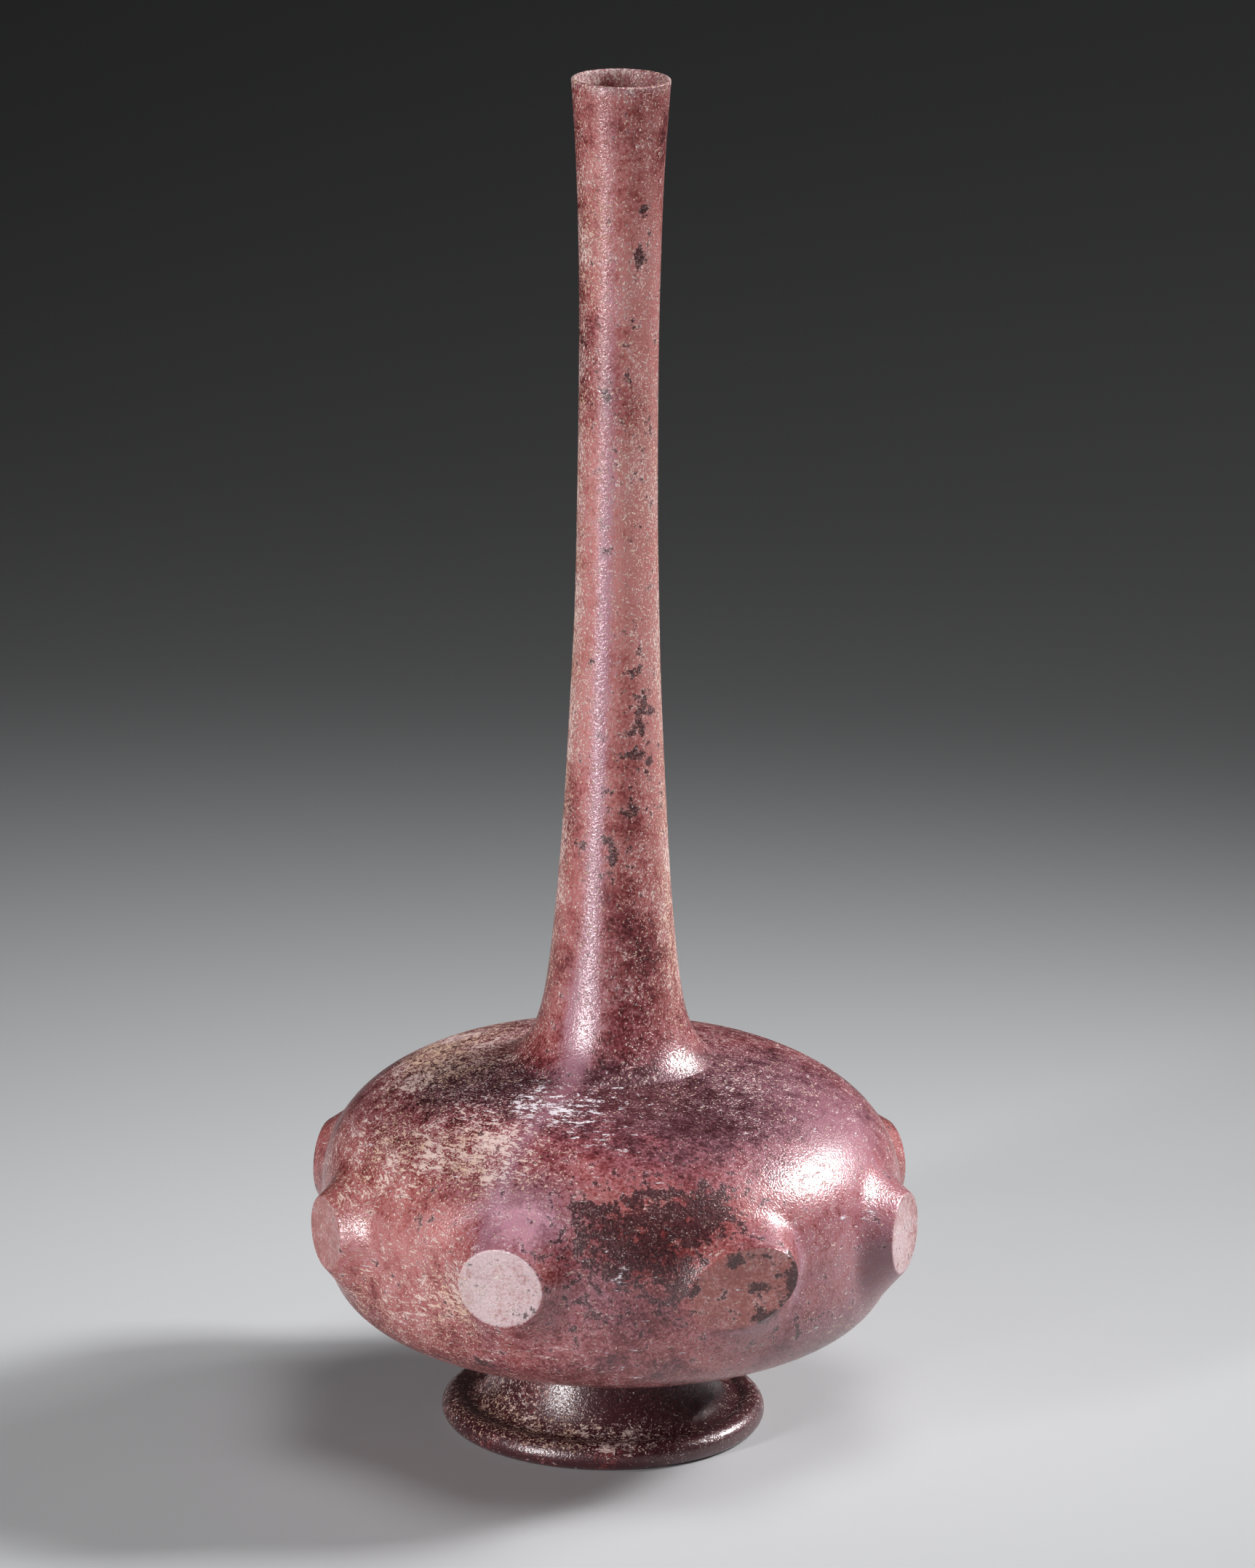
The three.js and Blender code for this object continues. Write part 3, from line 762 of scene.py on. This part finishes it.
def weathered_purple_glass_and_painted_light():
    """Blown manganese purple glass, long buried, under a dull rose film with a dark stain and cream flecks,
    and some painted highlights and painted shade.

    The glass over the film is its coat. It darkens the film where the wall turns away, and gives the wet
    highlights.
    """
    material, tree = new_material("weathered_purple_glass_and_painted_light")
    place = add(tree, "ShaderNodeTexCoord").outputs["Object"]
    face = stored(tree, "face")
    cloud = add(
        tree, "ShaderNodeTexNoise", {"Vector": place, "Scale": per_mm(CLOUD_SIZE), "Detail": 5.0}
    ).outputs["Fac"]
    mottle = add(
        tree, "ShaderNodeTexNoise", {"Vector": place, "Scale": per_mm(MOTTLE_SIZE), "Detail": 4.0}
    ).outputs["Fac"]
    grain = add(
        tree, "ShaderNodeTexNoise", {"Vector": place, "Scale": per_mm(GRAIN_SIZE), "Detail": 3.0}
    ).outputs["Fac"]

    # The film is thicker and paler in clouds, mottled and dusty, and the purple shows where it is thin. In a
    # few patches its tone is painted light and painted shade
    film_and_painted_light = weighted(tree, stored(tree, "film_and_painted_light"), (cloud, 1.2, 0.5), (mottle, 1.0, 0.5), (grain, 1.2, 0.5))
    film_and_light_ramp = add(tree, "ShaderNodeValToRGB", {"Fac": film_and_painted_light})
    ramp = film_and_light_ramp.color_ramp
    ramp.elements[0].position = 0.0
    ramp.elements[0].color = colour("#4a1f27")
    ramp.elements[1].position = 1.0
    ramp.elements[1].color = colour("#dcb6a8")
    ramp.elements.new(0.35).color = colour("#8f4948")
    ramp.elements.new(0.68).color = colour("#c48c82")

    # Where the surface has split into fine layers it scatters a cool lilac light. The same tone paints
    # highlights and sheen
    haze_and_painted_highlight = weighted(tree, stored(tree, "haze_and_painted_highlight"), (mottle, 1.4, 0.5), (grain, 1.6, 0.5))
    haze_and_highlight_tone = blended(tree, face, colour("#bfa9b8"), colour("#dccdcf"))
    calm = stepped(tree, face, 0.0, 1.0, 0.0, 0.7)
    pressed = blended(tree, calm, film_and_light_ramp.outputs["Color"], colour("#c0917f"))
    haze_and_highlight_share = stepped(tree, haze_and_painted_highlight, 0.0, 1.3)
    hazed_and_highlit = blended(tree, haze_and_highlight_share, pressed, haze_and_highlight_tone)
    lustre = weighted(tree, stored(tree, "lustre"), (mottle, 1.2, 0.5), (grain, 0.8, 0.5))
    lustred = blended(tree, stepped(tree, lustre, 0.2, 0.75), hazed_and_highlit, colour("#ead6e6"))

    # The stain grows in tree-like clusters a few millimetres across, with edges as fine as dust. Its dark
    # tones also paint shade on the foot's right under the body
    branches = add(
        tree,
        "ShaderNodeTexNoise",
        {"Vector": place, "Scale": per_mm(BRANCH_SIZE), "Detail": 5.0, "Roughness": 0.72},
    ).outputs["Fac"]
    stain_and_shade = weighted(tree, branches, (stored(tree, "deposit_and_painted_shade"), 0.2, 0.0))
    stain_and_shade_mask = stepped(tree, stain_and_shade, 0.585, 0.675, 0.0, 0.94)
    stain_and_shade_tone = blended(tree, stepped(tree, grain, 0.35, 0.65), colour("#1d0b10"), colour("#451c22"))
    stained_and_shaded = blended(tree, stain_and_shade_mask, lustred, stain_and_shade_tone)

    # The crust is left as crumbs in clusters, drawn out along the wall, and as single grains about 0.4 mm
    # across. The frost at the root of the neck is drawn out in the same way
    shoulder_place = streaked_place(tree, place)
    clusters = add(
        tree,
        "ShaderNodeTexNoise",
        {"Vector": shoulder_place, "Scale": per_mm(CLUSTER_SIZE), "Detail": 4.0, "Roughness": 0.80},
    ).outputs["Fac"]
    crumbs = add(
        tree,
        "ShaderNodeTexNoise",
        {"Vector": place, "Scale": per_mm(CRUMB_SIZE), "Detail": 2.0, "Distortion": 0.4},
    ).outputs["Fac"]
    icing = add(
        tree,
        "ShaderNodeTexNoise",
        {"Vector": shoulder_place, "Scale": per_mm(ICING_SIZE), "Detail": 4.0, "Roughness": 0.76},
    ).outputs["Fac"]
    crust = stored(tree, "crust")
    clustered = weighted(tree, clusters, (crust, 0.20, 0.0), (cloud, 0.25, 0.5))
    cluster_mask = stepped(tree, clustered, 0.65, 0.745, 0.0, 0.80)
    crumbled = weighted(tree, crumbs, (crust, 0.14, 0.0), (mottle, 0.3, 0.5))
    crumb_mask = stepped(tree, crumbled, 0.64, 0.74, 0.0, 0.82)
    iced = weighted(tree, icing, (stored(tree, "frost"), 0.20, 0.0))
    frost_mask = stepped(tree, iced, 0.62, 0.71)
    fleck = add(tree, "ShaderNodeMath", {0: cluster_mask, 1: crumb_mask}, operation="MAXIMUM").outputs[0]
    unstained_and_unshaded = stepped(tree, stain_and_shade_mask, 0.0, 1.0, 1.0, 0.3)
    fleck = add(tree, "ShaderNodeMath", {0: fleck, 1: unstained_and_unshaded}, operation="MULTIPLY").outputs[0]
    fleck_tone = blended(tree, stepped(tree, cloud, 0.42, 0.58), colour("#d2b39a"), colour("#d9c4bb"))
    flecked = blended(tree, fleck, stained_and_shaded, fleck_tone)
    frosted = blended(tree, frost_mask, flecked, colour("#cfc6cc"))
    white = add(tree, "ShaderNodeMath", {0: fleck, 1: frost_mask}, operation="MAXIMUM").outputs[0]

    # The wall is wet and a little clear where no crust lies on it, and duller on the split places, on the
    # stain and on the painted shade
    bare = stepped(tree, white, 0.0, 1.0, 1.0, 0.0)
    split = add(tree, "ShaderNodeMath", {0: face, 1: haze_and_highlight_share}, operation="MULTIPLY").outputs[0]
    wet = weighted(tree, bare, (stain_and_shade_mask, -0.25, 0.0), (split, -0.6, 0.0))
    thin = stored(tree, "clear")
    clear = weighted(tree, 0.34, (film_and_painted_light, -0.24, 0.0), (thin, 0.6, 0.0), (stain_and_shade_mask, -0.5, 0.0))
    clear = add(tree, "ShaderNodeMath", {0: clear, 1: bare}, operation="MULTIPLY", use_clamp=True).outputs[0]
    relief = weighted(tree, white, (crumbs, 0.9, 0.5), (grain, 0.6, 0.5))
    bump = add(tree, "ShaderNodeBump", {"Height": relief, "Strength": 0.8, "Distance": RELIEF_HEIGHT * MM})
    glass = add(
        tree,
        "ShaderNodeBsdfPrincipled",
        {
            "Base Color": frosted,
            "Roughness": weighted(tree, 0.45, (white, 0.35, 0.0)),
            "IOR": GLASS_IOR,
            "Specular IOR Level": 0.6,
            "Transmission Weight": clear,
            "Coat Weight": add(tree, "ShaderNodeClamp", {"Value": wet}).outputs[0],
            "Coat Roughness": 0.22,
            "Coat IOR": COAT_IOR,
            "Coat Tint": colour("#e0b2b9"),
            "Normal": bump.outputs["Normal"],
            "Coat Normal": bump.outputs["Normal"],
        },
    )
    add(tree, "ShaderNodeOutputMaterial", {"Surface": glass.outputs["BSDF"]})
    return material


def clear_purple_glass():
    """The inner face of the same glass, with only a thin bloom on it."""
    material, tree = new_material("clear_purple_glass")
    glass = add(
        tree,
        "ShaderNodeBsdfPrincipled",
        {"Base Color": colour("#e6c9cf"), "Roughness": 0.3, "IOR": GLASS_IOR, "Transmission Weight": 0.6},
    )
    add(tree, "ShaderNodeOutputMaterial", {"Surface": glass.outputs["BSDF"]})
    return material


def build_flask():
    mesh, points, beyond, down, outer_faces = glass_mesh()
    bearing = np.arctan2(points[:, 0], -points[:, 1])
    spot = (bearing, points[:, 2], np.hypot(points[:, 0], points[:, 1]))
    face = pressed_face(beyond)
    turn = 2.0 * math.pi / BOSS_COUNT
    nearest = np.rint((bearing - FIRST_BOSS_BEARING) / turn).astype(int) % BOSS_COUNT
    bloom = np.array([boss.bloom for boss in BOSSES])[nearest]
    keep(mesh, "face", face)
    keep(mesh, "haze_and_painted_highlight", lilac_haze_and_painted_highlights(spot, face, bloom))
    keep(mesh, "lustre", magenta_lustre(spot))
    keep(mesh, "down", down)
    keep(mesh, "film_and_painted_light", film_cover_and_painted_light(spot))
    keep(mesh, "deposit_and_painted_shade", dark_deposit_and_painted_shade(spot))
    keep(mesh, "crust", cream_crust(spot) * (1.0 - 0.3 * face))
    keep(mesh, "frost", white_frost(spot))
    keep(mesh, "clear", see_through(spot))
    mesh.materials.append(weathered_purple_glass_and_painted_light())
    mesh.materials.append(clear_purple_glass())
    slots = np.zeros(len(mesh.polygons), dtype=np.int32)
    slots[outer_faces:] = 1
    heights = np.array([polygon.center.z for polygon in mesh.polygons])
    slots[heights > (RIM_Z - MOUTH_CRUST) * MM] = 0
    mesh.polygons.foreach_set("material_index", slots)
    flask = bpy.data.objects.new("flask_glass", mesh)
    bpy.context.scene.collection.objects.link(flask)
    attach(flask, "root")
    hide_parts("flask")
    return flask


def build_floor():
    """A wide, plain, pale table top."""
    bpy.ops.mesh.primitive_plane_add(size=9.0, location=(0.0, 1.5, 0.0))
    floor = bpy.context.object
    floor.name = "table_top"
    material, tree = new_material("pale_matt_laminate")
    laminate = add(
        tree,
        "ShaderNodeBsdfPrincipled",
        {"Base Color": colour("#b6b7b9"), "Roughness": 0.6, "Specular IOR Level": 0.2},
    )
    add(tree, "ShaderNodeOutputMaterial", {"Surface": laminate.outputs["BSDF"]})
    floor.data.materials.append(material)


def direction(bearing, elevation):
    """Unit vector towards a light at a bearing and an elevation in degrees."""
    turn, rise = math.radians(bearing), math.radians(elevation)
    return Vector((math.sin(turn) * math.cos(rise), -math.cos(turn) * math.cos(rise), math.sin(rise)))


# Height of the point that all lamps are aimed at, in metres
LAMP_AIM_Z = 0.06


def add_softbox(name, bearing, elevation, distance, wide, tall, power, spread, mirrored=True):
    """A soft rectangular lamp in metres and watts, aimed at the body. Unmirrored, it leaves no highlight."""
    light = bpy.data.lights.new(name, "AREA")
    light.shape = "RECTANGLE"
    light.size = wide
    light.size_y = tall
    light.energy = power
    light.spread = math.radians(spread)
    lamp = bpy.data.objects.new(name, light)
    bpy.context.scene.collection.objects.link(lamp)
    towards = direction(bearing, elevation)
    lamp.visible_glossy = mirrored
    lamp.location = Vector((0.0, 0.0, LAMP_AIM_Z)) + towards * distance
    lamp.rotation_euler = towards.to_track_quat("Z", "Y").to_euler()


def build_light():
    add_softbox("key_softbox", 118.0, 34.5, 1.2, 0.30, 0.15, 0.24, spread=40.0)
    add_softbox("right_softbox", 105.5, 32.0, 1.2, 0.24, 0.20, 1.02, spread=41.0)
    add_softbox("overhead_softbox", 60.0, 80.0, 1.0, 0.5, 0.5, 0.40, spread=46.0, mirrored=False)
    add_softbox("left_strip", -45.0, 8.0, 1.3, 0.13, 0.9, 2.9, spread=60.0)
    world = bpy.data.worlds.new("dim_studio")
    world.use_nodes = True
    background = world.node_tree.nodes["Background"]
    background.inputs["Color"].default_value = colour("#8e8e8e")
    background.inputs["Strength"].default_value = 0.11
    bpy.context.scene.world = world


# Camera: the distance, height and lens that match the ellipses of the rim and the foot
CAMERA_DISTANCE = 1.52366
CAMERA_ELEVATION = 16.2
AIM_Z = 0.125826
LENS = 187.0
SENSOR = 36.0
PICTURE_TURN = math.radians(1.0)
SIDE_STEP = 0.00165


def build_camera():
    camera = bpy.data.cameras.new("photo_camera")
    camera.lens = LENS
    camera.sensor_fit = "VERTICAL"
    camera.sensor_height = SENSOR
    camera.clip_end = 50.0
    holder = bpy.data.objects.new("photo_camera", camera)
    bpy.context.scene.collection.objects.link(holder)
    towards = direction(0.0, CAMERA_ELEVATION)
    turn = towards.to_track_quat("Z", "Y").to_matrix().to_4x4() @ Matrix.Rotation(PICTURE_TURN, 4, "Z")
    side = turn.to_3x3() @ Vector((1.0, 0.0, 0.0))
    place = Vector((0.0, 0.0, AIM_Z)) + towards * CAMERA_DISTANCE + side * SIDE_STEP
    holder.matrix_world = Matrix.Translation(place) @ turn
    bpy.context.scene.camera = holder


build_flask()
build_floor()
build_light()
build_camera()
bpy.context.scene.view_settings.view_transform = "Standard"
